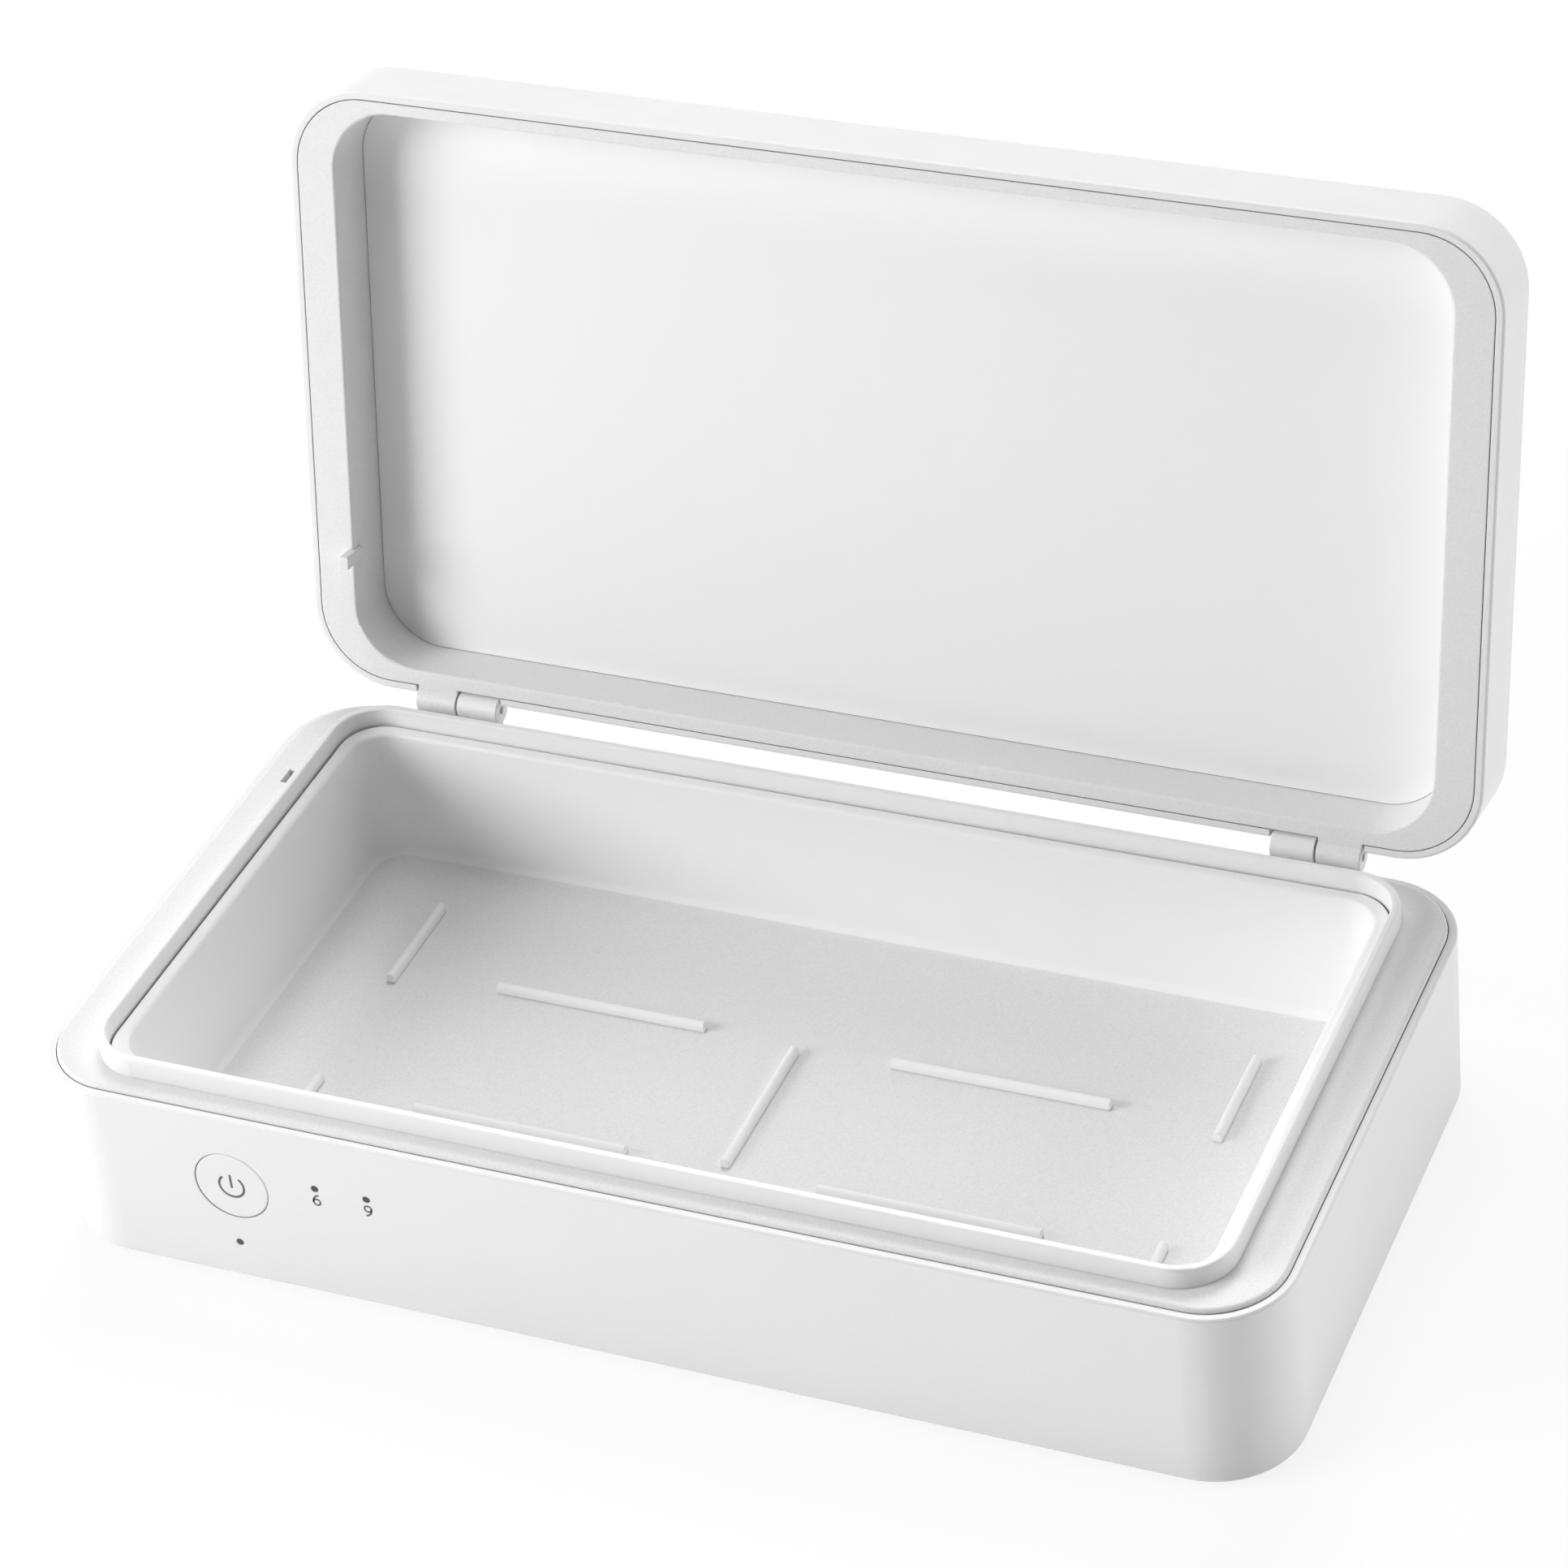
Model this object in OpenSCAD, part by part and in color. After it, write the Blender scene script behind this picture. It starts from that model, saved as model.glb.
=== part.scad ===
// Ultraviolet sanitizer box for phones, standing open on a table.
// Millimetres. X runs along the front, Y to the back, Z up.
// The origin is under the middle of the whole open box, at table height.

/* [Outline] */
// Length of the box along its front
box_l = 226; // [216:1:240]
// Depth of the box from front to back
box_d = 117; // [112:1:126]
// Radius of the upright corners
corner_r = 15.3; // [13:0.1:17]
// Wall of the base housing and of the lid housing
wall = 2.4; // [2.2:0.1:2.8]
// Thickness of both housings' rims outside the seam
rim_t = 1.5; // [1.3:0.1:1.7]
// Gap of the seams between housings and inner mouldings
seam = 0.15; // [0.1:0.05:0.3]

/* [Base housing] */
// Height of the base housing's rim above the table
base_h = 36.6; // [33:0.2:40]
// Thickness of the base housing's floor
floor_t = 2; // [1.8:0.1:2.4]
// Rounding of the base housing's lower edge
base_edge_r = 1.2; // [0.8:0.1:1.6]
// Height that the feet lift the housing
lift = 1; // [0.8:0.1:1.5]
// Radius of a rubber foot
foot_r = 5; // [4:0.5:6]
// Depth that a foot is let into the housing
foot_sunk = 0.8; // [0.6:0.1:1]
// Distance of a foot's centre from the outer faces
foot_inset = 17; // [15:0.5:19]

/* [Deck and lip] */
// Thickness of the deck
deck_t = 2; // [1.6:0.1:2.2]
// Height that the deck stands above the housing's rim
deck_proud = 0.8; // [0.5:0.1:1.2]
// Height of the lip above the deck
lip_h = 3.9; // [3:0.1:4.3]
// Thickness of the lip
lip_t = 1.6; // [1.4:0.1:2]
// Outer corner radius of the lip
lip_r = 10; // [9:0.2:11]
// Width of the deck at each end
side_deck = 9.9; // [9.5:0.1:12]
// Width of the deck at the front
front_deck = 5.2; // [5:0.1:6.5]
// Width of the deck at the back
back_deck = 5.1; // [5:0.1:5.6]

/* [Chamber] */
// Height of the chamber's floor above the table
chamber_z = 10; // [9:0.2:11]
// Wall of the chamber's tub
tub_t = 1.6; // [1.4:0.1:1.8]
// Width of the tub's flange that shows inside the lip
ledge_w = 2.9; // [2.7:0.1:3.4]
// Depth of the tub's flange below the lip's top
ledge_drop = 3.4; // [3.1:0.1:4.4]
// Corner radius of the chamber
tub_r = 7; // [6:0.5:8]
// Rounding where the chamber's walls meet its floor
tub_fillet = 2; // [1:0.25:3]
// Rounding along the top of the chamber's walls
tub_lip_r = 0.8; // [0.5:0.1:1.2]
// Rounding of the tub's flange where it meets the lip
flange_edge_r = 0.7; // [0.4:0.1:1]
// Width of a bar on the chamber's floor
bar_w = 1.6; // [1.2:0.1:2.6]
// Height of a bar above the chamber's floor
bar_h = 1.9; // [1.4:0.1:2.6]
// Distance of the bars' middle in front of the chamber's middle
bar_fore = 2; // [0:0.2:3]
// Distance of the four end bars from the chamber's middle, along X
bar_end_x = 79.5; // [74:0.5:84]
// Distance of the four end bars from the chamber's middle, along Y
bar_end_y = 25.2; // [22:0.2:28]
// Length of an end bar
bar_end_l = 22; // [16:1:26]
// Distance of the four long bars from the chamber's middle, along X
bar_long_x = 38.5; // [36:0.5:42]
// Distance of the four long bars from the chamber's middle, along Y
bar_long_y = 17.6; // [14:0.2:20]
// Length of a long bar
bar_long_l = 41; // [30:1:44]
// Length of the middle bar
bar_mid_l = 32; // [24:1:36]

/* [Lid] */
// Thickness of the closed lid
lid_h = 16.4; // [15:0.1:19]
// Thickness of the lid housing's top
lid_top_t = 2; // [1.6:0.1:2.2]
// Rounding of the lid's upper edge
lid_edge_r = 1.8; // [1:0.1:2.2]
// Gap between the closed lid and the deck
closed_gap = 0.3; // [0.2:0.05:0.6]
// Width of the lid's inner face at each end
side_band = 8.9; // [8:0.1:9.4]
// Width of the lid's inner face at the hinges
back_band = 4.5; // [4.3:0.1:4.8]
// Corner radius of the lid's cavity
cavity_r = 11.8; // [11:0.1:13]
// Depth of the lid's cavity
cavity_h = 11.3; // [9:0.1:11.8]
// Thickness of the lid frame's face
frame_t = 1.6; // [1.4:0.1:2]
// Wall of the lid's cavity
cavity_t = 1.3; // [1.1:0.1:1.5]
// Thickness of the reflector panel
panel_t = 1; // [0.8:0.1:1.2]
// Angle of the open lid from the closed lid
open_a = 101.5; // [90:0.5:104]

/* [Hinge] */
// Distance of the hinge line behind the back face
hinge_back = 1.4; // [1:0.1:1.6]
// Height of the hinge line above the closed lid's rim
hinge_up = 1.2; // [1:0.1:1.5]
// Outer radius of a knuckle
knuckle_r = 2.6; // [2.4:0.1:2.8]
// Length of a knuckle
knuckle_l = 8; // [7:0.2:10]
// Gap between two knuckles
knuckle_gap = 0.4; // [0.3:0.1:0.8]
// Distance of a hinge's middle from the box's middle
hinge_x = 83.6; // [76:0.2:88]
// Radius of a hinge pin
pin_r = 0.75; // [0.6:0.05:1.2]
// Radial clearance of a pin in the lid's knuckle
pin_gap = 0.05; // [0.02:0.01:0.08]

/* [Power button] */
// Distance of the button's centre from the left end
button_in = 39.6; // [38:0.2:46]
// Height of the button's centre above the table
button_z = 22; // [19:0.1:23]
// Radius of the button
button_r = 6.95; // [6:0.05:7.5]
// Radial clearance of the button in its hole
button_gap = 0.1; // [0.05:0.01:0.1]
// Travel of the button
button_travel = 0.6; // [0.4:0.05:0.7]

/* [Lights] */
// Radius of a light pipe
pipe_r = 0.65; // [0.5:0.05:0.9]
// Distance of the lower light from the left end
light_a_in = 39.1; // [38:0.1:42]
// Height of the lower light above the table
light_a_z = 9.2; // [8:0.1:11]
// Distance of the middle light from the left end
light_b_in = 56.1; // [54:0.1:58]
// Distance of the right light from the left end
light_c_in = 65.9; // [64:0.1:68]
// Height of the two upper lights above the table
light_z = 25.4; // [23:0.1:27]

/* [Interlock] */
// Thickness of the lid's switch tab
tab_t = 1.6; // [1.2:0.1:1.7]
// Width of the lid's switch tab
tab_w = 2.5; // [2:0.1:3]
// Length of the lid's switch tab
tab_h = 3.6; // [3:0.1:4]
// Distance of the tab behind the box's middle
tab_y = 32.6; // [28:0.2:36]
// Clearance of the tab in the deck's slot
tab_gap = 0.4; // [0.3:0.1:0.5]
// Width of the deck's slot, from the lip outward
slot_w = 3.9; // [3:0.1:4.4]

/* [Electronics] */
// Thickness of the circuit boards
board_t = 1.2; // [1:0.1:1.4]
// Length of the control board
board_l = 45; // [42:1:52]
// Number of ultraviolet lamps
lamp_n = 4; // [3:1:4]
// Distance between two lamps
lamp_step = 23; // [18:1:25]
// Radius of a lamp's window
window_r = 3; // [2.5:0.1:3.4]
// Thickness of a lamp's window
window_t = 0.8; // [0.6:0.1:1]
// Distance of the power socket from the box's middle
socket_x = 60; // [40:1:64]
// Height of the power socket's middle above the table
socket_z = 14; // [12:0.5:18]
// Width of the power socket
socket_w = 8.9; // [8:0.1:9.2]
// Height of the power socket
socket_h = 3.2; // [3:0.1:3.4]

/* [Fastenings] */
// Radius of a bottom screw's shank
screw_r = 1.3; // [1.1:0.05:1.5]
// Radius of a bottom screw's head
screw_head_r = 2.7; // [2.4:0.1:3]
// Radial clearance round screws
screw_gap = 0.05; // [0.02:0.01:0.1]
// Distance of the bottom screws from the ends
screw_inset_x = 29; // [28:0.5:34]
// Distance of the bottom screws from the front and back
screw_inset_y = 23; // [22:0.5:28]

/* [Hidden] */
$fn = 64;
// Extra length that makes a cut pass clear of a face
over = 0.5;
// Small clearance between pieces that are clamped or glued together
seat = 0.05;
// Colours, as in the photograph
shell_white = [0.95, 0.95, 0.94];
inner_white = [0.92, 0.92, 0.91];

// Heights
floor_top = lift + floor_t;
deck_z = base_h + deck_proud;
deck_under = deck_z - deck_t;
lip_z = deck_z + lip_h;
flange_z = lip_z - ledge_drop;
flange_t = 1.6;
flange_gap = 0.3;
flange_under = flange_z - flange_t;
ledge_t = 1.6;
ledge_under = flange_under - ledge_t;
tub_under = chamber_z - tub_t;
lid_z = deck_z + closed_gap;

// Lip and chamber in plan
lip_l = box_l - 2 * side_deck;
lip_d = box_d - front_deck - back_deck;
lip_y = (front_deck - back_deck) / 2;
tub_l = lip_l - 2 * (lip_t + ledge_w);
tub_d = lip_d - 2 * (lip_t + ledge_w);
ledge_seat = ledge_w - tub_t - 0.2;

// Lid cavity in plan, its front wall close behind the housing's wall
cavity_gap = 0.2;
front_band = wall + cavity_gap + cavity_t;
cavity_l = box_l - 2 * side_band;
cavity_d = box_d - front_band - back_band;
cavity_y = (front_band - back_band) / 2;
panel_lap = 4;

// Hinge line
hinge_y = box_d / 2 + hinge_back;
hinge_z = lid_z + hinge_up;
knuckle_clear = 0.5;
neck_in = 0.3;
hinge_span = 2 * knuckle_l + knuckle_gap;
notch_l = hinge_span + 2 * knuckle_clear;
pin_inset = 0.9;
pin_seat = 0.01;

// Middle of the open box from front to back
open_back_y = hinge_y + (lid_edge_r - box_d / 2 - hinge_y) * cos(open_a)
    + (lid_z + lid_h - lid_edge_r - hinge_z) * sin(open_a) + lid_edge_r;
mid_y = (open_back_y - box_d / 2) / 2;

// Front wall layers, from outside to inside
front_y = -box_d / 2;
wall_in_y = front_y + wall;
tub_front_y = lip_y - tub_d / 2 - tub_t;
board_gap = 1.3;
board_back_y = tub_front_y - board_gap;
board_y = board_back_y - board_t;
left_x = -box_l / 2;
button_x = left_x + button_in;
button_flange_r = button_r + 1;
button_flange_t = 1;
button_rest_gap = 0.15;
plunger_y = wall_in_y + button_rest_gap + button_flange_t;
switch_y = plunger_y + button_travel + 0.15;
switch_w = 6.2;
plunger_r = 1.6;
plunger_gap = 0.08;
plunger_l = 1;
// Control board: it starts left of the button and stands between the floor and the ledge
board_x0 = button_x - 12.1;
board_x1 = board_x0 + board_l;
board_z = 5.2;
board_top = ledge_under - 0.4;
chip_x = board_x0 + 28.5;
chip_z = board_z + 9.8;
chip_w = 6;
chip_h = 1;
inlet_x = board_x0 + 21.5;
inlet_z = board_z + 1.2;
inlet_l = 7;
inlet_w = 3;
inlet_h = 1.6;
// Board screws: place along X, and height
board_screw_r = 0.9;
board_head_r = 1.6;
board_head_t = 0.8;
board_screws_at = [[board_x0 + 4, 9], [board_x1 - 4.5, 10], [board_x0 + 33.5, board_top - 2.4]];
boss_r = 2.4;
// Lights: place from the left end, and height
lights = [[light_a_in, light_a_z], [light_b_in, light_z], [light_c_in, light_z]];

// Lamp board
lamp_end = 7;
lamp_pcb_l = (lamp_n - 1) * lamp_step + 2 * lamp_end;
lamp_mid_x = tub_l / 2 - tub_r - lamp_pcb_l / 2 - 2;
lamp_z = ledge_under - 10.6;
lamp_w = 3.5;
lamp_pcb_t = 1;
lamp_gap = 0.3;
lamp_t = 1.2;
lamp_pcb_y = tub_front_y - lamp_gap - lamp_t;
lamp_pcb_h = 12;
lamp_screw_r = 0.8;
lamp_screw_z = lamp_z + 4;
lamp_boss_r = 1.8;
lamp_head_r = 1.5;
lamp_head_t = 0.8;
lead_t = 0.4;
lead_w = 5;
lead_z = lamp_z - 2;
plug_h = 6;
plug_l = 4;

// Interlock sensor under the slot
slot_x1 = -lip_l / 2;
slot_x0 = slot_x1 - slot_w;
tab_x = slot_x1 - tab_gap - tab_t / 2;
tab_root = 2.5;
slot_reach = 1;
fork_t = 1.7;
fork_w = 3.6;
fork_x1 = slot_x1 - 0.3;
fork_x0 = fork_x1 - fork_w;
fork_h = 6.5;
fork_base_t = 2;
fork_top = deck_under - 0.2;
fork_z = fork_top - fork_h;
fork_y0 = tab_y - tab_w / 2 - slot_reach;
fork_y1 = tab_y + tab_w / 2 + tab_gap;

// Socket at the back
back_in_y = box_d / 2 - wall;
socket_wall = 0.4;
socket_recess = 0.4;
socket_back_y = lip_y + tub_d / 2 + tub_t + 0.4;
socket_pcb_t = 1;
socket_pcb_w = 16;
rib_t = 1.6;

// Bottom screws
screw_x = box_l / 2 - screw_inset_x;
screw_y = box_d / 2 - screw_inset_y;
boss_top = floor_top + 2.4;
head_top = lift + 2.4;
head_bottom = lift + 0.6;
shank_top = chamber_z - 1.2;
post_r = 3.6;
pocket_r = screw_head_r + 0.2;

// A flat rounded rectangle
module plan(l, d, r) {
    square([l - 2 * r, d], center = true);
    square([l, d - 2 * r], center = true);
    for (sx = [-1, 1], sy = [-1, 1])
        translate([sx * (l / 2 - r), sy * (d / 2 - r)]) circle(r);
}

// A slab with upright rounded corners
module slab(l, d, r, z0, z1) {
    translate([0, 0, z0]) linear_extrude(z1 - z0) plan(l, d, r);
}

// Sweeps a profile round a rounded rectangle.
// The profile's x counts outward from the rectangle's edge and its y is the height.
module ring(l, d, r) {
    for (k = [0 : 3]) {
        sx = (k == 0 || k == 3) ? 1 : -1;
        sy = (k < 2) ? 1 : -1;
        translate([sx * (l / 2 - r), sy * (d / 2 - r), 0]) rotate(90 * k)
            rotate_extrude(angle = 90) translate([r, 0]) children();
    }
    for (side = [0, 180]) rotate(side) {
        translate([l / 2, 0, 0]) rotate([90, 0, 0])
            linear_extrude(d - 2 * r, center = true) children();
        translate([0, d / 2, 0]) rotate([90, 0, 90])
            linear_extrude(l - 2 * r, center = true) children();
    }
}

// The corner that a rounding of radius r cuts off, its point at the origin.
// sx and sz say on which side of the point the material lies.
module round_off(r, sx, sz) {
    scale([sx, sz]) difference() {
        translate([-0.1, -0.1]) square(r + 0.1);
        translate([r, r]) circle(r);
    }
}

// A small bevel's cut, its point at the origin
module bevel_off(c, sx, sz) {
    scale([sx, sz]) polygon([[-0.1, -0.1], [c + 0.1, -0.1], [-0.1, c + 0.1]]);
}

// A cylinder along X
module rod_x(r, x0, x1, y, z) {
    translate([x0, y, z]) rotate([0, 90, 0]) cylinder(h = x1 - x0, r = r);
}

// A cylinder along Y
module rod_y(r, y0, y1, x, z) {
    translate([x, y0, z]) rotate([-90, 0, 0]) cylinder(h = y1 - y0, r = r);
}

// A box between two corners
module block(a, b) {
    translate(a) cube(b - a);
}

// Moves the base so that the origin is under the middle of the open box
module placed() {
    translate([0, -mid_y, 0]) children();
}

// Turns the lid from closed to its open place
module opened() {
    placed() translate([0, hinge_y, hinge_z]) rotate([-open_a, 0, 0])
        translate([0, -hinge_y, -hinge_z]) children();
}

// Where the bottom screws stand
module at_screws() {
    for (sx = [-1, 1], sy = [-1, 1]) translate([sx * screw_x, sy * screw_y, 0]) children();
}

// Outer knuckles belong to the lid and inner ones to the deck
function outer_x0() = hinge_x + knuckle_gap / 2;
function inner_x0() = hinge_x - knuckle_gap / 2 - knuckle_l;

// Profile of the base housing's wall and rim
module base_wall_profile() {
    difference() {
        translate([-wall, lift]) square([wall, base_h - lift]);
        translate([0, lift]) round_off(base_edge_r, -1, 1);
        translate([0, base_h]) bevel_off(0.35, -1, -1);
        translate([-wall - over, deck_under]) square([wall - rim_t + over, deck_t + over]);
    }
}

// Outer housing of the base, with the posts and bosses moulded inside it
module base_shell() {
    color(shell_white) placed() difference() {
        union() {
            ring(box_l, box_d, corner_r) base_wall_profile();
            slab(box_l - 2 * base_edge_r, box_d - 2 * base_edge_r, corner_r - base_edge_r, lift, floor_top);
            at_screws() translate([0, 0, lift]) cylinder(h = boss_top - lift, r = post_r + 1);
            for (p = board_screws_at)
                rod_y(boss_r, wall_in_y - over, board_y, p[0], p[1]);
            sensor_rib();
            for (s = [-1, 1]) socket_rib(s);
        }
        at_screws() {
            translate([0, 0, lift - over]) cylinder(h = head_top - lift + over, r = pocket_r);
            cylinder(h = boss_top + over, r = screw_r + 0.2);
        }
        for (p = board_screws_at)
            rod_y(board_screw_r, wall_in_y, board_y + over, p[0], p[1]);
        rod_y(button_r + button_gap, front_y - over, wall_in_y + over, button_x, button_z);
        for (p = lights)
            rod_y(pipe_r + seat, front_y - over, wall_in_y + over, left_x + p[0], p[1]);
        socket_hole();
        for (s = [-1, 1]) base_hinge_notch(s);
        feet_at() translate([0, 0, lift - over]) cylinder(h = foot_sunk + over, r = foot_r + 0.1);
    }
}

// Rib from the floor and the end wall that carries the interlock sensor
module sensor_rib() {
    y = (fork_y0 + fork_y1) / 2;
    block([left_x + wall - over, y - rib_t / 2, floor_top - over], [fork_x1, y + rib_t / 2, fork_z - seat]);
}

// Rib that carries one side of the socket's board
module socket_rib(s) {
    x = socket_x + s * (socket_pcb_w / 2 - 1.5);
    block([x - rib_t / 2, socket_back_y + 0.2, floor_top - over],
        [x + rib_t / 2, back_in_y + over, socket_z - socket_h / 2 - socket_pcb_t - seat]);
}

// Opening for the power socket in the back wall
module socket_hole() {
    gap = 0.25;
    r = socket_h / 2 + gap;
    translate([socket_x, box_d / 2 + over, socket_z]) rotate([90, 0, 0])
        linear_extrude(wall + 2 * over) plan(socket_w + 2 * gap, socket_h + 2 * gap, r - 0.01);
}

// Relief in the back rim for the two knuckles of one hinge
module base_hinge_notch(s) {
    translate([s * hinge_x, 0, 0])
        block([-notch_l / 2, box_d / 2 - rim_t - over, deck_under],
            [notch_l / 2, box_d / 2 + over, base_h + over]);
}

// Where the feet stand
module feet_at() {
    for (sx = [-1, 1], sy = [-1, 1])
        translate([sx * (box_l / 2 - foot_inset), sy * (box_d / 2 - foot_inset), 0]) children();
}

// Profile of the deck's outer edge, with a rounded upper corner
module deck_edge_profile() {
    w = 2;
    difference() {
        translate([-w, deck_under]) square([w, deck_t]);
        translate([0, deck_z]) round_off(0.8, -1, -1);
    }
}

// Profile of the lip, with the ledge that carries the tub's flange
module lip_profile() {
    difference() {
        union() {
            translate([-lip_t, ledge_under]) square([lip_t, lip_z - ledge_under]);
            translate([-lip_t - ledge_seat, ledge_under]) square([lip_t + ledge_seat, ledge_t]);
        }
        translate([0, lip_z]) round_off(0.5, -1, -1);
        translate([-lip_t, lip_z]) round_off(0.4, 1, -1);
    }
}

// Knuckle of the base, joined to the deck
module base_knuckle(s) {
    x0 = (s > 0) ? inner_x0() : -inner_x0() - knuckle_l;
    x1 = x0 + knuckle_l;
    rod_x(knuckle_r, x0, x1, hinge_y, hinge_z);
    block([x0, box_d / 2 - rim_t - 2, deck_under], [x1, hinge_y, deck_z]);
    block([x0, hinge_y - knuckle_r + neck_in, deck_z - over], [x1, hinge_y, hinge_z]);
}

// Deck with the lip round the chamber and the inner knuckles of both hinges
module deck_frame() {
    inset = rim_t + seam;
    deck_l = box_l - 2 * inset;
    deck_d = box_d - 2 * inset;
    color(shell_white) placed() difference() {
        union() {
            ring(deck_l, deck_d, corner_r - inset) deck_edge_profile();
            difference() {
                slab(deck_l - 2, deck_d - 2, corner_r - inset - 1, deck_under, deck_z);
                translate([0, lip_y, 0])
                    slab(lip_l - lip_t, lip_d - lip_t, lip_r - lip_t / 2,
                        deck_under - over, deck_z + over);
            }
            translate([0, lip_y, 0]) ring(lip_l, lip_d, lip_r) lip_profile();
            for (s = [-1, 1]) base_knuckle(s);
        }
        for (s = [-1, 1])
            rod_x(pin_r + pin_seat, s * hinge_x - hinge_span, s * hinge_x + hinge_span, hinge_y, hinge_z);
        block([slot_x0, fork_y0, deck_under - over], [slot_x1, fork_y1, deck_z + over]);
    }
}

// One low bar with a half-round top, along X, its middle at the origin
module floor_bar(l) {
    translate([-l / 2, -bar_w / 2, chamber_z - over]) cube([l, bar_w, bar_h - bar_w / 2 + over]);
    rod_x(bar_w / 2, -l / 2, l / 2, 0, chamber_z + bar_h - bar_w / 2);
}

// The nine bars that hold a phone off the floor
module floor_bars() {
    for (sx = [-1, 1], sy = [-1, 1]) {
        translate([sx * bar_end_x, sy * bar_end_y, 0]) rotate(90) floor_bar(bar_end_l);
        translate([sx * bar_long_x, sy * bar_long_y, 0]) floor_bar(bar_long_l);
    }
    rotate(90) floor_bar(bar_mid_l);
}

// Inner space of the chamber, with a rounded lower edge
module chamber_space() {
    e = tub_fillet;
    top = flange_z + over;
    union() {
        ring(tub_l, tub_d, tub_r) difference() {
            translate([-tub_r + 0.1, chamber_z]) square([tub_r - 0.1, top - chamber_z]);
            translate([0, chamber_z]) round_off(e, -1, 1);
        }
        slab(tub_l - tub_r, tub_d - tub_r, tub_r / 2, chamber_z, top);
    }
}

// Moulded tub of the chamber, hung in the lip by its flange
module chamber_tub() {
    inset = lip_t + flange_gap;
    color(inner_white) placed() difference() {
        union() {
            translate([0, lip_y, 0]) difference() {
                union() {
                    slab(lip_l - 2 * inset, lip_d - 2 * inset, lip_r - inset, flange_under, flange_z);
                    slab(tub_l + 2 * tub_t, tub_d + 2 * tub_t, tub_r + tub_t, tub_under, flange_z);
                }
                chamber_space();
                ring(tub_l, tub_d, tub_r) translate([0, flange_z]) round_off(tub_lip_r, 1, -1);
                ring(lip_l - 2 * inset, lip_d - 2 * inset, lip_r - inset)
                    translate([0, flange_z]) round_off(flange_edge_r, -1, -1);
            }
            translate([0, lip_y - bar_fore, 0]) floor_bars();
            at_screws() translate([0, 0, boss_top]) cylinder(h = chamber_z - 0.5 - boss_top, r = post_r);
            for (x = lamp_screw_xs())
                rod_y(lamp_boss_r, lamp_pcb_y, tub_front_y + over, x, lamp_screw_z);
        }
        at_screws() translate([0, 0, boss_top - over])
            cylinder(h = shank_top - boss_top + over, r = screw_r + screw_gap);
        for (x = lamp_xs()) {
            rod_y(window_r - 0.5, tub_front_y - over, tub_front_y + tub_t + over, x, lamp_z);
            rod_y(window_r + seat, tub_front_y - over, tub_front_y + window_t, x, lamp_z);
        }
        for (x = lamp_screw_xs())
            rod_y(lamp_screw_r, lamp_pcb_y - over, tub_front_y + 0.6, x, lamp_screw_z);
    }
}

// Lamps and lamp board screws along the front wall
function lamp_xs() = [for (k = [0 : lamp_n - 1]) lamp_mid_x + (k - (lamp_n - 1) / 2) * lamp_step];
function lamp_screw_xs() = [for (s = [-1, 1]) lamp_mid_x + s * (lamp_pcb_l / 2 - 3)];

// Four round rubber feet let into the housing
module rubber_feet() {
    color("dimgray") placed() feet_at() rotate_extrude() difference() {
        square([foot_r, lift + foot_sunk - seat]);
        translate([foot_r, 0]) bevel_off(0.4, -1, 1);
    }
}

// Self-tapping screws from below into the tub's posts
module bottom_screws() {
    color("silver") placed() at_screws() difference() {
        union() {
            translate([0, 0, head_bottom]) cylinder(h = head_top - head_bottom, r = screw_head_r);
            translate([0, 0, head_top - over]) cylinder(h = shank_top - 0.2 - head_top + over, r = screw_r);
        }
        for (a = [0, 90]) rotate(a)
            block([-1.6, -0.35, head_bottom - over], [1.6, 0.35, head_bottom + 0.9]);
    }
}

// Control board with its chip and the plugs of both leads
module control_board() {
    color("darkgreen") placed() difference() {
        union() {
            block([board_x0, board_y, board_z], [board_x1, board_back_y, board_top]);
            block([chip_x, board_y - chip_h, chip_z], [chip_x + chip_w, board_y + 0.1, chip_z + chip_w]);
            block([board_x1 - plug_l, board_y - 2.2, lead_z - plug_h / 2],
                [board_x1, board_y + 0.1, lead_z + plug_h / 2]);
            block([inlet_x, board_y - inlet_h, inlet_z], [inlet_x + inlet_l, board_y + 0.1, inlet_z + inlet_w]);
            for (p = lights)
                rod_y(pipe_r + 0.2, board_y - 0.6, board_y + 0.1, left_x + p[0], p[1]);
        }
        for (p = board_screws_at)
            rod_y(board_screw_r + 0.2, board_y - over, board_back_y + over, p[0], p[1]);
    }
}

// Screws that hold the control board to the housing's bosses
module board_screws() {
    color("silver") placed() for (p = board_screws_at) {
        rod_y(board_head_r, board_back_y + 0.02, board_back_y + board_head_t, p[0], p[1]);
        rod_y(board_screw_r - screw_gap, wall_in_y + 0.6, board_back_y + 0.2, p[0], p[1]);
    }
}

// Body of the push switch behind the power button
module push_switch() {
    h = switch_w / 2;
    color("black") placed() difference() {
        block([button_x - h, switch_y, button_z - h], [button_x + h, board_y, button_z + h]);
        rod_y(plunger_r + plunger_gap, switch_y - over, plunger_y + plunger_l + button_travel + 0.2,
            button_x, button_z);
    }
}

// Clear rods that carry light to the front face
module status_pipes() {
    color("lightgray") placed() for (p = lights)
        rod_y(pipe_r, front_y + 0.1, board_y - 0.65, left_x + p[0], p[1]);
}

// Fork that looks for the lid's tab below the slot
module interlock_sensor() {
    color("black") placed() difference() {
        block([fork_x0, fork_y0 - fork_t, fork_z], [fork_x1, fork_y1 + fork_t, fork_top]);
        block([fork_x0 - over, fork_y0, fork_z + fork_base_t], [fork_x1 + over, fork_y1, fork_top + over]);
    }
}

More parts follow.
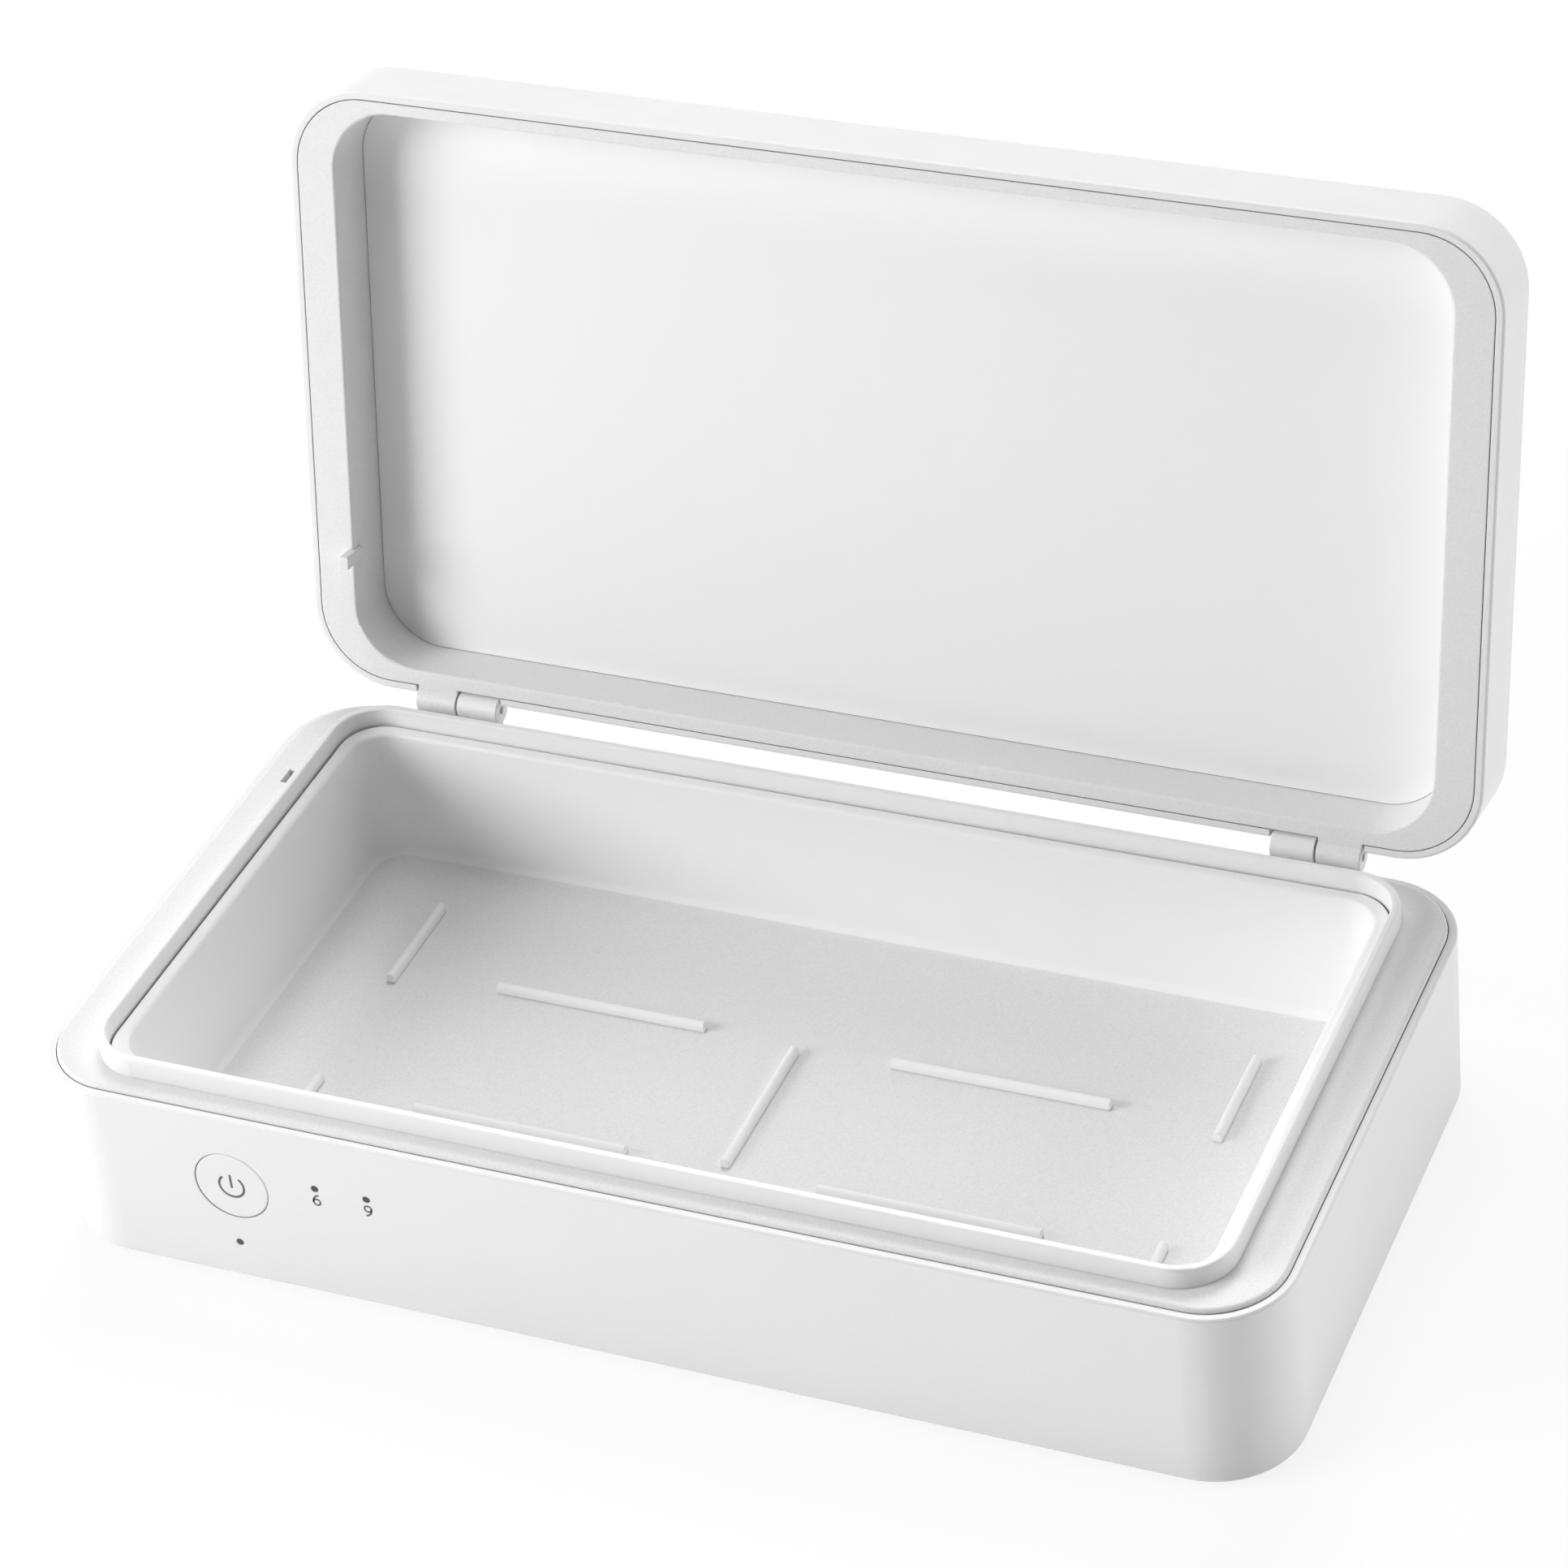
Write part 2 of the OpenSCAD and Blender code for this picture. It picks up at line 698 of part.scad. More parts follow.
// Board that carries the ultraviolet lamps, outside the chamber's front wall
module lamp_board() {
    color("darkgreen") placed() difference() {
        union() {
            block([lamp_mid_x - lamp_pcb_l / 2, lamp_pcb_y - lamp_pcb_t, lamp_z - lamp_pcb_h / 2],
                [lamp_mid_x + lamp_pcb_l / 2, lamp_pcb_y, lamp_z + lamp_pcb_h / 2]);
            block([lamp_mid_x - lamp_pcb_l / 2, lamp_pcb_y - lamp_pcb_t - 1.4, lead_z - plug_h / 2],
                [lamp_mid_x - lamp_pcb_l / 2 + plug_l, lamp_pcb_y - 0.1, lead_z + plug_h / 2]);
        }
        for (x = lamp_screw_xs())
            rod_y(lamp_screw_r + 0.2, lamp_pcb_y - lamp_pcb_t - over, lamp_pcb_y + over, x, lamp_screw_z);
    }
}

// Screws that hold the lamp board to the tub
module lamp_screws() {
    back = lamp_pcb_y - lamp_pcb_t;
    color("silver") placed() for (x = lamp_screw_xs()) {
        rod_y(lamp_head_r, back - lamp_head_t, back - 0.02, x, lamp_screw_z);
        rod_y(lamp_screw_r - screw_gap, back - 0.2, tub_front_y + 0.4, x, lamp_screw_z);
    }
}

// Ultraviolet lamps, facing into the chamber
module uv_lamps() {
    h = lamp_w / 2;
    color("gold") placed() for (x = lamp_xs()) {
        block([x - h, lamp_pcb_y, lamp_z - h], [x + h, lamp_pcb_y + 0.6, lamp_z + h]);
        rod_y(1.2, lamp_pcb_y + 0.5, lamp_pcb_y + lamp_t, x, lamp_z);
    }
}

// Clear windows let into the chamber's front wall
module lamp_windows() {
    color([0.75, 0.85, 0.95]) placed() for (x = lamp_xs())
        rod_y(window_r, tub_front_y, tub_front_y + window_t - 0.02, x, lamp_z);
}

// Flat lead from the control board to the lamp board
module lamp_lead() {
    x0 = board_x1;
    x1 = lamp_mid_x - lamp_pcb_l / 2;
    y = lamp_pcb_y - lamp_pcb_t - 0.6;
    color("ivory") placed() block([x0, y - lead_t, lead_z - lead_w / 2], [x1, y, lead_z + lead_w / 2]);
}

// Power socket's metal sleeve with its tongue
module power_socket() {
    y0 = socket_back_y;
    y1 = box_d / 2 - socket_recess;
    color("silver") placed() translate([socket_x, 0, socket_z]) {
        translate([0, y1, 0]) rotate([90, 0, 0]) linear_extrude(y1 - y0) difference() {
            plan(socket_w, socket_h, socket_h / 2 - 0.01);
            plan(socket_w - 2 * socket_wall, socket_h - 2 * socket_wall, socket_h / 2 - socket_wall - 0.01);
        }
        translate([0, y0 + 0.8, 0]) rotate([90, 0, 0]) linear_extrude(0.8)
            plan(socket_w - socket_wall, socket_h - socket_wall, socket_h / 2 - socket_wall / 2 - 0.01);
        block([-2.8, y0 + 0.4, -0.35], [2.8, y1 - 0.9, 0.35]);
    }
}

// Small board under the power socket
module socket_board() {
    z1 = socket_z - socket_h / 2;
    color("darkgreen") placed() block([socket_x - socket_pcb_w / 2, socket_back_y + 0.2, z1 - socket_pcb_t],
        [socket_x + socket_pcb_w / 2, back_in_y - 0.2, z1 - 0.02]);
}

// Flat lead from the socket's board, under the tub, to the control board
module power_lead() {
    z_top = socket_z - socket_h / 2 - socket_pcb_t - 0.02;
    x0 = socket_x - lead_w / 2;
    yb = back_in_y - 1.4;
    z0 = floor_top + 0.2;
    xb = inlet_x + 1;
    color("ivory") placed() {
        block([x0, yb - lead_t, z0], [x0 + lead_w, yb, z_top]);
        block([x0, board_y - 0.6, z0], [x0 + lead_w, yb, z0 + lead_t]);
        block([xb, board_y - 0.6, z0], [x0 + lead_w, board_y - 0.6 + lead_w, z0 + lead_t]);
        block([xb, board_y - 0.6, z0], [xb + lead_w, board_y - 0.6 + lead_t, inlet_z]);
    }
}

// Steel pins of both hinges
module hinge_pins() {
    half = hinge_span / 2 - pin_inset;
    color("silver") placed() for (s = [-1, 1])
        rod_x(pin_r, s * hinge_x - half, s * hinge_x + half, hinge_y, hinge_z);
}

// Profile of the lid housing's wall and rim, as it lies closed
module lid_wall_profile() {
    difference() {
        translate([-wall, lid_z]) square([wall, lid_h]);
        translate([0, lid_z + lid_h]) round_off(lid_edge_r, -1, -1);
        translate([0, lid_z]) bevel_off(0.35, -1, 1);
        translate([-wall - over, lid_z - over]) square([wall - rim_t + over, frame_t + over]);
    }
}

// Outer housing of the lid, notched round the hinges
module lid_shell() {
    color(shell_white) opened() difference() {
        union() {
            ring(box_l, box_d, corner_r) lid_wall_profile();
            slab(box_l - 2 * lid_edge_r, box_d - 2 * lid_edge_r, corner_r - lid_edge_r,
                lid_z + lid_h - lid_top_t, lid_z + lid_h);
        }
        for (s = [-1, 1]) translate([s * hinge_x, 0, 0])
            block([-notch_l / 2, box_d / 2 - wall - over, lid_z - over],
                [notch_l / 2, box_d / 2 + over, hinge_z + knuckle_r + knuckle_clear]);
    }
}

// Knuckle of the lid, joined to the lid frame, as it lies closed
module lid_knuckle(s) {
    x0 = (s > 0) ? outer_x0() : -outer_x0() - knuckle_l;
    x1 = x0 + knuckle_l;
    rod_x(knuckle_r, x0, x1, hinge_y, hinge_z);
    block([x0, box_d / 2 - wall - 1, lid_z], [x1, hinge_y, hinge_z + knuckle_r - 0.3]);
}

// Inner frame of the lid: face, cavity walls, outer knuckles and switch tab
module lid_frame() {
    inset = rim_t + seam;
    depth = cavity_h + panel_t + seat;
    wall_top = lid_z + depth + cavity_t;
    color(shell_white) opened() difference() {
        union() {
            difference() {
                slab(box_l - 2 * inset, box_d - 2 * inset, corner_r - inset, lid_z, lid_z + frame_t - seat);
                translate([0, cavity_y, 0])
                    slab(cavity_l + 1, cavity_d + 1, cavity_r + 0.5, lid_z - over, lid_z + frame_t + over);
            }
            translate([0, cavity_y, 0]) ring(cavity_l, cavity_d, cavity_r) cavity_wall_profile(wall_top);
            for (s = [-1, 1]) lid_knuckle(s);
            block([tab_x - tab_t / 2, tab_y - tab_w / 2, lid_z - tab_h],
                [tab_x + tab_t / 2, tab_y + tab_w / 2, lid_z + tab_root]);
        }
        for (s = [-1, 1]) {
            rod_x(pin_r + pin_gap, s * hinge_x - hinge_span, s * hinge_x + hinge_span, hinge_y, hinge_z);
            lid_knuckle_relief(s);
        }
    }
}

// Space round the deck's knuckle in the closed lid frame
module lid_knuckle_relief(s) {
    x0 = (s > 0) ? inner_x0() - knuckle_clear : -inner_x0() - knuckle_l - knuckle_gap / 2;
    x1 = x0 + knuckle_l + knuckle_clear + knuckle_gap / 2;
    rod_x(knuckle_r + knuckle_clear, x0, x1, hinge_y, hinge_z);
}

// Profile of the lid cavity's wall, with the lap that carries the panel
module cavity_wall_profile(wall_top) {
    difference() {
        union() {
            translate([0, lid_z]) square([cavity_t, wall_top - lid_z]);
            translate([-panel_lap, wall_top - cavity_t]) square([panel_lap + cavity_t, cavity_t]);
        }
        translate([0, lid_z]) round_off(0.5, 1, 1);
    }
}

// Flat reflecting panel at the bottom of the lid's cavity
module reflector_panel() {
    gap = 0.1;
    color(inner_white) opened() translate([0, cavity_y, 0])
        slab(cavity_l - 2 * gap, cavity_d - 2 * gap, cavity_r - gap,
            lid_z + cavity_h, lid_z + cavity_h + panel_t);
}

// Round push button with the flange that keeps it in the housing
module power_button() {
    flange_y = wall_in_y + button_rest_gap;
    color(shell_white) placed() difference() {
        union() {
            rod_y(button_r, front_y, flange_y + over, button_x, button_z);
            rod_y(button_flange_r, flange_y, flange_y + button_flange_t, button_x, button_z);
        }
        translate([button_x, front_y, button_z]) rotate([-90, 0, 0]) rotate_extrude()
            translate([button_r, 0]) round_off(0.3, -1, 1);
    }
}

// Plunger of the push switch, which the button carries inward
module switch_plunger() {
    color("dimgray") placed() rod_y(plunger_r, plunger_y + 0.02, plunger_y + plunger_l, button_x, button_z);
}

base_shell();
deck_frame();
chamber_tub();
rubber_feet();
bottom_screws();
control_board();
board_screws();
push_switch();
status_pipes();
interlock_sensor();
lamp_board();
lamp_screws();
uv_lamps();
lamp_windows();
lamp_lead();
power_socket();
socket_board();
power_lead();
hinge_pins();
lid_shell();
lid_frame();
reflector_panel();
power_button();
switch_plunger();
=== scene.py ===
"""Looks of an ultraviolet sanitizer box for phones, dressed over its solid model."""
import math

import bmesh
import bpy
from mathutils import Euler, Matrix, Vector


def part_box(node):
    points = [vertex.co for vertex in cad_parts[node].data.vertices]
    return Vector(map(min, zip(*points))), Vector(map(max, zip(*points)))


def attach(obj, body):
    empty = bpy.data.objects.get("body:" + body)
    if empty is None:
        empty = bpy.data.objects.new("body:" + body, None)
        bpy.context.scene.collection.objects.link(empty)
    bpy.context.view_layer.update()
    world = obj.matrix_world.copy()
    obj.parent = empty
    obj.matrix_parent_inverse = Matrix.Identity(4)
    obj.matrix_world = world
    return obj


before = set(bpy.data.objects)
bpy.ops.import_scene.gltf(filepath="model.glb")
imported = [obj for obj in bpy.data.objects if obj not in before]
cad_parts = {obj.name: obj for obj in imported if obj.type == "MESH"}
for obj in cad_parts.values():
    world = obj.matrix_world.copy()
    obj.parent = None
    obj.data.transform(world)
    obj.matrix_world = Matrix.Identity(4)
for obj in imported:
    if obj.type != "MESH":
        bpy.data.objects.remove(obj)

bl_info = {
    "name": "Phone Sanitizer Box",
    "version": (1, 0, 0),
    "blender": (4, 5, 0),
    "location": "3D View > Sidebar > Sanitizer",
    "description": "Dresses the open sanitizer box in moulded plastic and sets its studio",
    "category": "Object",
}

MM = 0.001

# The camera, fitted to the photograph: metres, degrees and shares of the frame's width
CAMERA_PLACE = (0.31379, -0.63236, 0.58434)
CAMERA_TURN = (55.339, 4.8431, 21.8325)
CAMERA_SHIFT = (-0.0414, -0.1066)
CAMERA_CLIP = (0.05, 20.0)
SENSOR_WIDTH = 36.0  # mm

# Every lamp points at the middle of the open box
LAMP_AIM = (0.0, 0.0, 0.06)

# Painted shade darkens seams within this distance of a neighbour, and tones change over this
# height
SHADE_REACH = 0.8 * MM
TONE_STEP = 0.2 * MM

# Where the front face, the button and the lights stand, from the solid model
FRONT_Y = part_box("base_shell")[0][1]
BUTTON_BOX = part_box("power_button")
LIGHTS_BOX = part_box("status_pipes")


def linear(code):
    """Turns an sRGB hex colour into the linear colour that a shader takes."""
    values = [int(code[i:i + 2], 16) / 255 for i in (1, 3, 5)]
    return [v / 12.92 if v <= 0.04045 else ((v + 0.055) / 1.055) ** 2.4 for v in values]


def colour(name, description, code):
    """A colour property whose default is an sRGB hex value."""
    return bpy.props.FloatVectorProperty(
        name=name, description=description, subtype="COLOR", size=3,
        min=0.0, max=1.0, default=linear(code))


def length(name, description, value):
    """A length property in metres."""
    return bpy.props.FloatProperty(
        name=name, description=description, unit="LENGTH", min=0.0, precision=5, default=value)


def power(name, description, value):
    """A lamp's power in watts."""
    return bpy.props.FloatProperty(
        name=name, description=description, unit="POWER", min=0.0, default=value)


class PlasticProperties(bpy.types.PropertyGroup):
    """Colours and grain of the moulded plastics."""

    housing: colour("Housing", "Outer housings and the button", "#F4F4F4")
    inner: colour("Inner mouldings", "Deck, lip and lid frame", "#F6F6F6")
    chamber: colour("Chamber", "Tub under the phone", "#F8F8F8")
    panel: colour("Reflector", "Panel in the lid", "#FBFBFB")
    deck_top: length("Deck top", "Height of the flat deck round the lip", 37.4 * MM)
    chamber_floor: length("Chamber floor", "Height of the chamber's floor", 10 * MM)
    grain: length("Grain", "Width of one grain of the moulded texture", 0.45 * MM)
    edge: length("Edge softness", "Radius that the moulds leave on small edges", 0.35 * MM)


class MarkProperties(bpy.types.PropertyGroup):
    """Printed marks on the front face."""

    ink: colour("Ink", "Printed symbol and numbers", "#626466")
    symbol_radius: length("Symbol radius", "Radius of the power symbol's ring", 2.35 * MM)
    symbol_stroke: length("Symbol stroke", "Width of the power symbol's line", 0.45 * MM)
    digit_height: length("Number height", "Height of the numbers under the lights", 2.5 * MM)
    digit_stroke: length("Number stroke", "Width of a number's line", 0.36 * MM)
    digit_drop: length("Number drop", "Distance of a number's middle below its light", 2.5 * MM)
    light_radius: length("Light radius", "Radius of a light rod's end", 0.65 * MM)
    light_step: length("Light step", "Distance between the two upper lights", 9.8 * MM)
    ink_thick: length("Ink thickness", "Thickness of the printed film", 0.02 * MM)


class StageProperties(bpy.types.PropertyGroup):
    """Floor, lamps and camera."""

    floor: colour("Floor", "Table top and backdrop", "#FFFFFF")
    floor_glow: bpy.props.FloatProperty(
        name="Floor glow", description="Share of plain white in the floor that the camera sees",
        min=0.0, max=1.0, default=0.85)
    floor_reach: length("Floor reach", "Half the side of the square table top", 4.0)
    floor_drop: length("Floor drop", "Gap between the table top and the rubber feet", 0.02 * MM)
    main_power: power("Main lamp", "Power of the large lamp at the front left", 13.4)
    near_power: power("Near lamp", "Power of the closer lamp at the front left", 3.8)
    side_power: power("Side lamp", "Power of the low lamp at the right", 11.0)
    back_power: power("Back lamp", "Power of the closer lamp above the back", 7.0)
    top_power: power("Top lamp", "Power of the large lamp straight above", 5.6)
    large_lamp: length("Large lamps", "Side of the square lamps far from the box", 0.9)
    small_lamp: length("Small lamps", "Side of the square lamps close to the box", 0.55)
    room: bpy.props.FloatProperty(
        name="Room light", description="Brightness of the room round the box",
        min=0.0, max=2.0, default=0.04)
    focal: bpy.props.FloatProperty(
        name="Focal length", description="Focal length of the camera on a 36 mm sensor",
        unit="CAMERA", min=10.0, default=116.72)


def add_node(tree, kind, settings=None, inputs=None, feed=(), **links):
    """Adds a node with its settings and values, then links outputs into its inputs.

    feed fills the first inputs in their order, for nodes whose inputs share a name, and links
    fills inputs by name.
    """
    made = tree.nodes.new(kind)
    for name, value in (settings or {}).items():
        setattr(made, name, value)
    for name, value in (inputs or {}).items():
        made.inputs[name].default_value = value
    for source, target in zip(feed, made.inputs):
        tree.links.new(source, target)
    for name, source in links.items():
        tree.links.new(source, made.inputs[name.replace("_", " ")])
    return made


def rgba(values):
    """A linear colour with full cover, as a socket takes it."""
    return (values[0], values[1], values[2], 1.0)


def shade(values, factor):
    """The same colour made lighter or darker by a factor."""
    return (values[0] * factor, values[1] * factor, values[2] * factor, 1.0)


def new_material(name):
    """A material with an empty node tree, and that tree."""
    made = bpy.data.materials.new(name)
    made.use_nodes = True
    made.node_tree.nodes.clear()
    return made, made.node_tree


def finish_material(tree, shader):
    """Links the shader to the material's output."""
    add_node(tree, "ShaderNodeOutputMaterial", Surface=shader.outputs[0])


def blotches(tree, place, size, low, high, detail=2.0):
    """Soft patches of the given size in metres, as values between low and high."""
    noise = add_node(tree, "ShaderNodeTexNoise", inputs={"Scale": 1 / size, "Detail": detail},
                     Vector=place)
    ramp = add_node(tree, "ShaderNodeMapRange",
                    inputs={"From Min": 0.3, "From Max": 0.7, "To Min": low, "To Max": high},
                    Value=noise.outputs["Fac"])
    return ramp.outputs["Result"]


def moulded_plastic(name, tone, grain, depth, pit_shade, rough, edge, seam_shade=0.05,
                    no_pit_shade_above=None, lighter_shade_above=None):
    """ABS from a spark-eroded mould: satin, with fine grain, faint flow patches and soft edges.

    grain and depth are the width and depth of the texture, and pit_shade the tones of the
    painted shade in its pits. Above the height no_pit_shade_above the pits get no painted shade.
    lighter_shade_above is a height and a tone: seams above that height are painted no darker than
    that tone, and the others get painted shade as dark as seam_shade.
    """
    made, tree = new_material(name)
    # Places on the piece in metres, which stay with it when it moves
    place = add_node(tree, "ShaderNodeTexCoord").outputs["Object"]
    height = add_node(tree, "ShaderNodeSeparateXYZ", Vector=place).outputs["Z"]
    # Faint flow patches about 30 mm across, seen only at a glancing look
    patches = blotches(tree, place, 30 * MM, 0.0, 1.0)
    tint = add_node(tree, "ShaderNodeMix", {"data_type": "RGBA"},
                    {"A": shade(tone, 0.985), "B": rgba(tone)}, Factor=patches)
    # Grain of the mould: really about 0.15 mm, drawn coarser so that it shows. Its pits are
    # painted a little darker, as painted shade.
    fine = add_node(tree, "ShaderNodeTexNoise",
                    inputs={"Scale": 1 / grain, "Detail": 3.0, "Roughness": 0.6}, Vector=place)
    pits = add_node(tree, "ShaderNodeMapRange", None,
                    {"From Min": 0.3, "From Max": 0.6,
                     "To Min": pit_shade[0], "To Max": pit_shade[1]},
                    Value=fine.outputs["Fac"]).outputs["Result"]
    if no_pit_shade_above is not None:
        # Only the flat gets the painted shade in the pits. Above it the colour stays even, as on a
        # smooth face that leaves the mould; the bump still covers the whole piece.
        smooth = add_node(tree, "ShaderNodeMapRange", None,
                          {"From Min": no_pit_shade_above, "From Max": no_pit_shade_above + TONE_STEP},
                          Value=height)
        pits = add_node(tree, "ShaderNodeMath", {"operation": "MAXIMUM"},
                        feed=(pits, smooth.outputs["Result"])).outputs["Value"]
    grained = add_node(tree, "ShaderNodeVectorMath", {"operation": "SCALE"},
                       Vector=tint.outputs["Result"], Scale=pits)
    # Painted shade: ambient occlusion darkens the colour near a neighbour, which draws seams as
    # thin dark lines
    near = add_node(tree, "ShaderNodeAmbientOcclusion", {"samples": 4}, {"Distance": SHADE_REACH})
    seams = add_node(tree, "ShaderNodeMapRange", None,
                     {"From Min": 0.1, "From Max": 0.5, "To Min": seam_shade, "To Max": 1.0},
                     Value=near.outputs["AO"])
    if lighter_shade_above is not None:
        # A wide groove, such as the one under the lip, catches more light than the other seams, so
        # above this height the painted shade is lighter
        level, lighter_shade_tone = lighter_shade_above
        tone_here = add_node(tree, "ShaderNodeMapRange", None,
                             {"From Min": level, "From Max": level + TONE_STEP,
                              "To Min": seam_shade, "To Max": lighter_shade_tone}, Value=height)
        tree.links.new(tone_here.outputs["Result"], seams.inputs["To Min"])
    toned = add_node(tree, "ShaderNodeVectorMath", {"operation": "SCALE"},
                     Vector=grained.outputs["Vector"], Scale=seams.outputs["Result"])
    gloss = blotches(tree, place, 8 * MM, rough - 0.03, rough + 0.04)
    soft = add_node(tree, "ShaderNodeBevel", {"samples": 4}, {"Radius": edge})
    bump = add_node(tree, "ShaderNodeBump", None, {"Strength": 0.5, "Distance": depth},
                    Height=fine.outputs["Fac"], Normal=soft.outputs["Normal"])
    shader = add_node(tree, "ShaderNodeBsdfPrincipled", inputs={"IOR": 1.53},
                      Base_Color=toned.outputs["Vector"], Roughness=gloss,
                      Normal=bump.outputs["Normal"])
    finish_material(tree, shader)
    return made


def reflector_sheet(name, tone):
    """Painted aluminium sheet: smooth and satin, with a hint of rolling lines along its length."""
    made, tree = new_material(name)
    place = add_node(tree, "ShaderNodeTexCoord").outputs["Object"]
    # Rolling lines about 0.6 mm apart, stretched along X
    stretch = add_node(tree, "ShaderNodeMapping", None, {"Scale": (6.0, 600.0, 600.0)},
                       Vector=place)
    lines = add_node(tree, "ShaderNodeTexNoise", inputs={"Scale": 2.5, "Detail": 2.0},
                     Vector=stretch.outputs["Vector"])
    gloss = blotches(tree, place, 20 * MM, 0.32, 0.40)
    bump = add_node(tree, "ShaderNodeBump", None, {"Strength": 0.15, "Distance": 0.01 * MM},
                    Height=lines.outputs["Fac"])
    shader = add_node(tree, "ShaderNodeBsdfPrincipled",
                      inputs={"Base Color": rgba(tone), "IOR": 1.5, "Coat Weight": 0.6,
                              "Coat Roughness": 0.25},
                      Roughness=gloss, Normal=bump.outputs["Normal"])
    finish_material(tree, shader)
    return made


def printed_ink(name, tone):
    """Pad-printed ink: a thin matt film with slightly uneven cover."""
    made, tree = new_material(name)
    place = add_node(tree, "ShaderNodeTexCoord").outputs["Object"]
    cover = blotches(tree, place, 0.5 * MM, 0.0, 1.0)
    tint = add_node(tree, "ShaderNodeMix", {"data_type": "RGBA"},
                    {"A": rgba(tone), "B": shade(tone, 1.25)}, Factor=cover)
    gloss = blotches(tree, place, 1 * MM, 0.5, 0.62)
    shader = add_node(tree, "ShaderNodeBsdfPrincipled", inputs={"IOR": 1.5},
                      Base_Color=tint.outputs["Result"], Roughness=gloss)
    finish_material(tree, shader)
    return made


def moulded_rubber(name, code):
    """Moulded silicone rubber: matt and faintly dusty."""
    made, tree = new_material(name)
    place = add_node(tree, "ShaderNodeTexCoord").outputs["Object"]
    dust = blotches(tree, place, 2 * MM, 0.0, 1.0, 4.0)
    tint = add_node(tree, "ShaderNodeMix", {"data_type": "RGBA"},
                    {"A": rgba(linear(code)), "B": shade(linear(code), 1.3)}, Factor=dust)
    fine = add_node(tree, "ShaderNodeTexNoise", inputs={"Scale": 1 / (0.4 * MM)}, Vector=place)
    bump = add_node(tree, "ShaderNodeBump", None, {"Strength": 0.4, "Distance": 0.03 * MM},
                    Height=fine.outputs["Fac"])
    shader = add_node(tree, "ShaderNodeBsdfPrincipled", inputs={"Roughness": 0.85, "IOR": 1.41},
                      Base_Color=tint.outputs["Result"], Normal=bump.outputs["Normal"])
    finish_material(tree, shader)
    return made


def worked_steel(name, code, rough, line_gap, along):
    """Steel drawn or folded from sheet: bright, with fine lines along the way it was worked.

    along is the axis of the lines: 0, 1 or 2 for X, Y or Z.
    """
    made, tree = new_material(name)
    place = add_node(tree, "ShaderNodeTexCoord").outputs["Object"]
    scale = [1 / line_gap] * 3
    scale[along] = 0.05 / line_gap
    stretch = add_node(tree, "ShaderNodeMapping", None, {"Scale": scale}, Vector=place)
    lines = add_node(tree, "ShaderNodeTexNoise", inputs={"Scale": 1.0, "Detail": 3.0},
                     Vector=stretch.outputs["Vector"])
    gloss = add_node(tree, "ShaderNodeMapRange", None,
                     {"To Min": rough - 0.08, "To Max": rough + 0.1}, Value=lines.outputs["Fac"])
    bump = add_node(tree, "ShaderNodeBump", None, {"Strength": 0.3, "Distance": 0.01 * MM},
                    Height=lines.outputs["Fac"])
    shader = add_node(tree, "ShaderNodeBsdfPrincipled",
                      inputs={"Base Color": rgba(linear(code)), "Metallic": 1.0},
                      Roughness=gloss.outputs["Result"], Normal=bump.outputs["Normal"])
    finish_material(tree, shader)
    return made


def coated_laminate(name, mask_code, copper_code):
    """Glass-fibre laminate under green solder mask, with copper tracks showing through."""
    made, tree = new_material(name)
    place = add_node(tree, "ShaderNodeTexCoord").outputs["Object"]
    # Tracks about 1.6 mm apart, squared off by the brick pattern
    turn = add_node(tree, "ShaderNodeMapping", None, {"Rotation": (math.radians(90), 0.0, 0.0)},
                    Vector=place)
    tracks = add_node(tree, "ShaderNodeTexBrick", None,
                      {"Scale": 1 / (6.4 * MM), "Mortar Size": 0.03, "Mortar Smooth": 0.2,
                       "Brick Width": 1.1, "Row Height": 0.25,
                       "Color1": rgba(linear(mask_code)), "Color2": shade(linear(mask_code), 0.9),
                       "Mortar": rgba(linear(copper_code))},
                      Vector=turn.outputs["Vector"])
    bump = add_node(tree, "ShaderNodeBump", None, {"Strength": 0.3, "Distance": 0.03 * MM},
                    Height=tracks.outputs["Fac"])
    gloss = blotches(tree, place, 3 * MM, 0.22, 0.34)
    shader = add_node(tree, "ShaderNodeBsdfPrincipled", inputs={"IOR": 1.55, "Coat Weight": 0.3},
                      Base_Color=tracks.outputs["Color"], Roughness=gloss,
                      Normal=bump.outputs["Normal"])
    finish_material(tree, shader)
    return made


def tinted_rod(name, code):
    """Smoke-tinted acrylic, cut and polished: glossy, with a tone that varies in soft patches."""
    made, tree = new_material(name)
    place = add_node(tree, "ShaderNodeTexCoord").outputs["Object"]
    depth = blotches(tree, place, 0.8 * MM, 0.0, 1.0)
    tint = add_node(tree, "ShaderNodeMix", {"data_type": "RGBA"},
                    {"A": rgba(linear(code)), "B": shade(linear(code), 1.35)}, Factor=depth)
    shader = add_node(tree, "ShaderNodeBsdfPrincipled",
                      inputs={"Roughness": 0.12, "IOR": 1.49, "Transmission Weight": 0.25},
                      Base_Color=tint.outputs["Result"])
    finish_material(tree, shader)
    return made


def quartz_glass(name, code):
    """Fused quartz, ground and polished: clear, with a trace of waviness."""
    made, tree = new_material(name)
    place = add_node(tree, "ShaderNodeTexCoord").outputs["Object"]
    waves = add_node(tree, "ShaderNodeTexNoise", inputs={"Scale": 1 / (3 * MM)}, Vector=place)
    bump = add_node(tree, "ShaderNodeBump", None, {"Strength": 0.1, "Distance": 0.02 * MM},
                    Height=waves.outputs["Fac"])
    shader = add_node(tree, "ShaderNodeBsdfPrincipled",
                      inputs={"Base Color": rgba(linear(code)), "Roughness": 0.04, "IOR": 1.46,
                              "Transmission Weight": 0.9},
                      Normal=bump.outputs["Normal"])
    finish_material(tree, shader)
    return made


